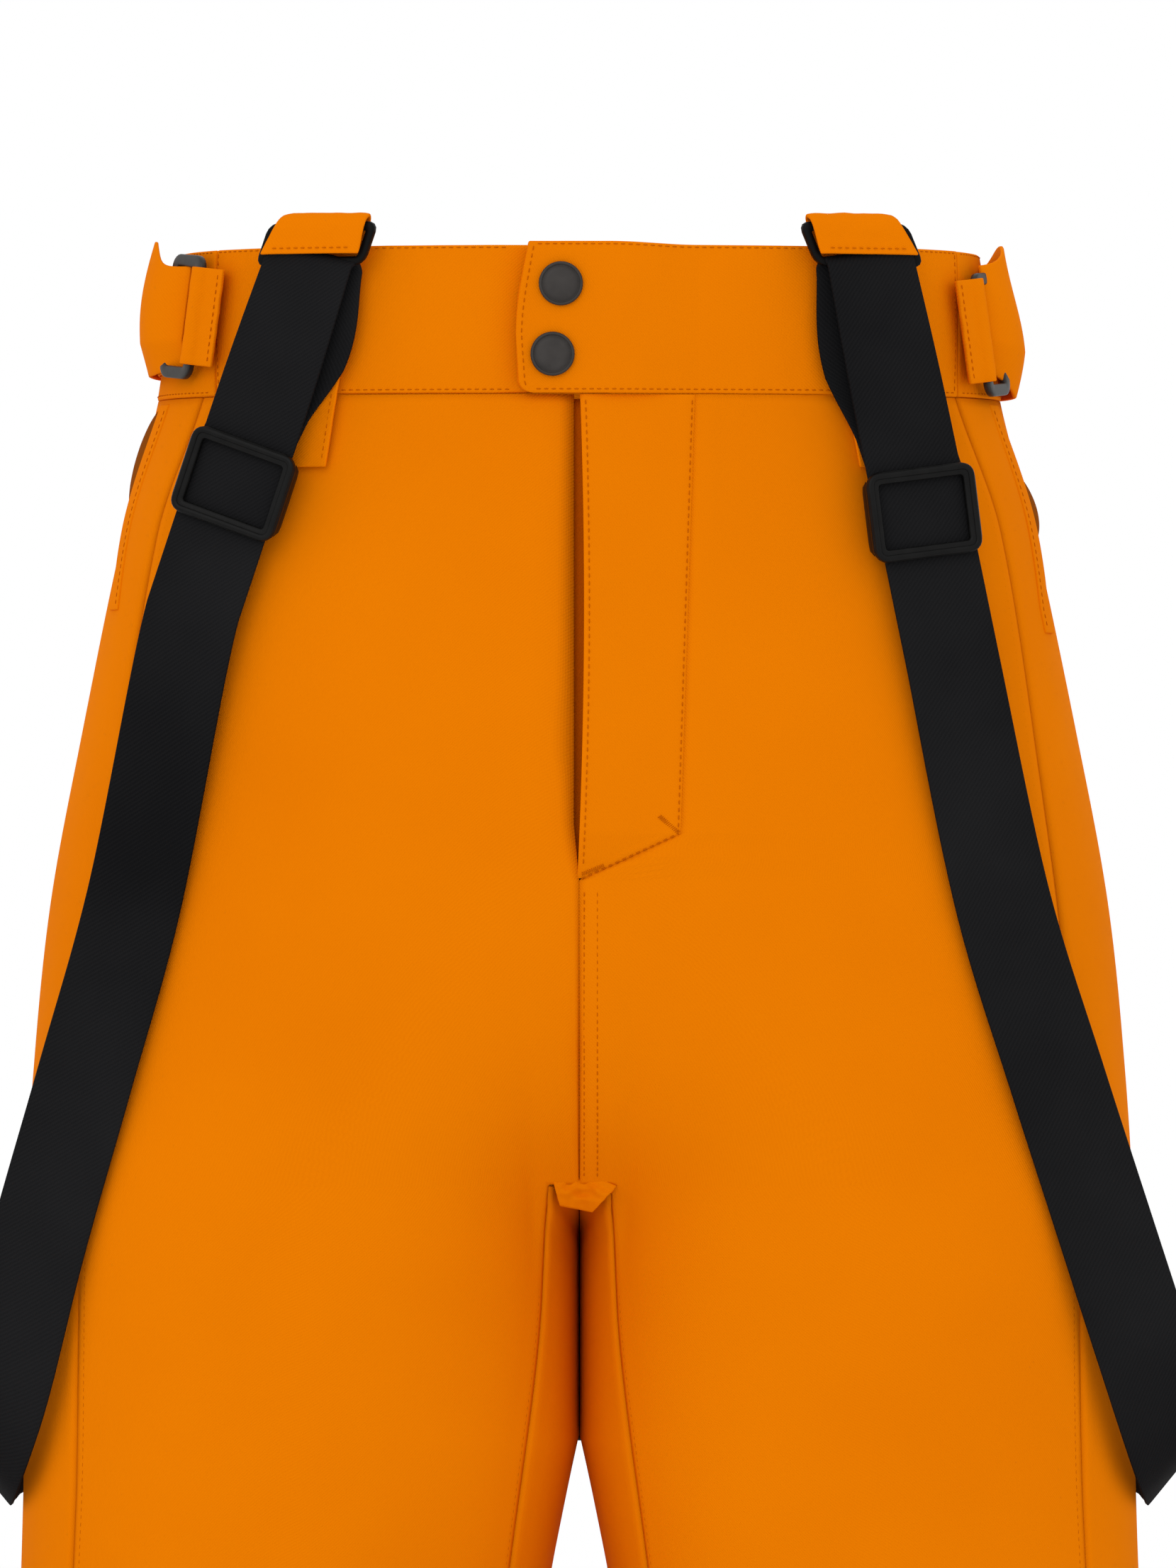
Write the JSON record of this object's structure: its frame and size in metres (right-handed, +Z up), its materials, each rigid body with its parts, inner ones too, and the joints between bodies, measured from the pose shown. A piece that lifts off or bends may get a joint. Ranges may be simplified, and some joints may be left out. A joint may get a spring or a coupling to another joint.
{
  "type": "over-trousers with braces",
  "caption": "High-waisted heavy over-trousers with a snap and zip fly, side pockets, waist adjusters and clip-on webbing braces",
  "frame": {"origin": "centre of the waist opening, on the top edge of the waistband", "axes": "+Z up, -Y towards the front, +X towards the wearer's left"},
  "size_m": [0.4962, 0.2472, 1.0969],
  "materials": {
    "shell_cloth": "matte woven",
    "lining_cloth": "matte woven",
    "webbing": "ribbed webbing",
    "stitching": "sewing thread",
    "black_plastic": "moulded satin",
    "snap_metal": "dark plated",
    "zip_brass": "satin"
  },
  "bodies": {
    "trousers": {"front_panel_left": "shell_cloth", "front_panel_right": "shell_cloth", "back_panel_left": "shell_cloth", "back_panel_right": "shell_cloth", "front_leg_left": "shell_cloth", "front_leg_right": "shell_cloth", "back_leg_left": "shell_cloth", "back_leg_right": "shell_cloth", "inner_leg_gusset_left": "shell_cloth", "inner_leg_gusset_right": "shell_cloth", "hem_band_left": "shell_cloth", "hem_band_right": "shell_cloth", "waistband_front_left": "shell_cloth", "waistband_front_right": "shell_cloth", "waistband_back": "shell_cloth", "suspender_tab_left": "shell_cloth", "suspender_tab_right": "shell_cloth", "suspender_tab_rear": "shell_cloth", "adjuster_anchor_left": "shell_cloth", "adjuster_anchor_right": "shell_cloth", "adjuster_strip_left": "shell_cloth", "adjuster_strip_right": "shell_cloth", "pocket_bag_left": "lining_cloth", "pocket_bag_right": "lining_cloth", "zip_tape_left": "lining_cloth", "zip_tape_right": "lining_cloth", "fly_guard": "lining_cloth", "strap_lower_left": "webbing", "strap_lower_right": "webbing", "strap_lower_rear": "webbing", "strap_junction": "webbing", "snap_stud_upper": "snap_metal", "snap_stud_lower": "snap_metal", "adjuster_ring_left": "snap_metal", "adjuster_ring_right": "snap_metal", "zip_teeth_left": "zip_brass", "zip_teeth_right": "zip_brass"},
    "fly_flap": {"waistband_overlap": "shell_cloth", "fly_placket": "shell_cloth", "snap_cap_upper": "snap_metal", "snap_cap_lower": "snap_metal", "snap_socket_upper": "snap_metal", "snap_socket_lower": "snap_metal"},
    "fly_zip": {"zip_slider": "zip_brass", "zip_pull": "zip_brass"},
    "brace_left": {"suspender_ring_left": "black_plastic", "strap_upper_left": "webbing"},
    "brace_right": {"suspender_ring_right": "black_plastic", "strap_upper_right": "webbing"},
    "brace_rear": {"suspender_ring_rear": "black_plastic", "strap_upper_rear": "webbing"},
    "slider_left": {"strap_slider_left": "black_plastic", "strap_tail_left": "webbing"},
    "slider_right": {"strap_slider_right": "black_plastic", "strap_tail_right": "webbing"},
    "adjuster_flap_left": {"adjuster_tab_left": "shell_cloth"},
    "adjuster_flap_right": {"adjuster_tab_right": "shell_cloth"}
  },
  "joints": [
    {"name": "fly_flap_open", "type": "hinge", "parent": "trousers", "child": "fly_flap", "pos_m": [0.0463, -0.1055, -0.12], "axis": [0, 0, 1], "range_deg": [0, 40]},
    {"name": "fly_zip_slide", "type": "slide", "parent": "trousers", "child": "fly_zip", "axis": [0, 0, -1], "range_m": [0, 0.138]},
    {"name": "brace_left_swing", "type": "hinge", "parent": "trousers", "child": "brace_left", "pos_m": [0.106, -0.098, 0.0089], "axis": [-0.9418, -0.306, -0.1392], "range_deg": [0, 20]},
    {"name": "brace_right_swing", "type": "hinge", "parent": "trousers", "child": "brace_right", "pos_m": [-0.0975, -0.1019, 0.0089], "axis": [-0.9303, 0.3023, 0.2079], "range_deg": [0, 20]},
    {"name": "brace_rear_swing", "type": "hinge", "parent": "trousers", "child": "brace_rear", "pos_m": [0, 0.1155, 0.0039], "axis": [1, 0, 0], "range_deg": [0, 15]},
    {"name": "slider_left_travel", "type": "slide", "parent": "brace_left", "child": "slider_left", "axis": [0.2026, 0.0658, -0.977], "range_m": [-0.045, 0.038]},
    {"name": "slider_right_travel", "type": "slide", "parent": "brace_right", "child": "slider_right", "axis": [-0.3065, 0.0996, -0.9466], "range_m": [-0.038, 0.045]},
    {"name": "adjuster_left_peel", "type": "hinge", "parent": "trousers", "child": "adjuster_flap_left", "pos_m": [0.1659, -0.0337, -0.027], "axis": [0, 0, -1], "range_deg": [0, 70]},
    {"name": "adjuster_right_peel", "type": "hinge", "parent": "trousers", "child": "adjuster_flap_right", "pos_m": [-0.1613, -0.0473, -0.027], "axis": [0, 0, 1], "range_deg": [0, 70]}
  ]
}
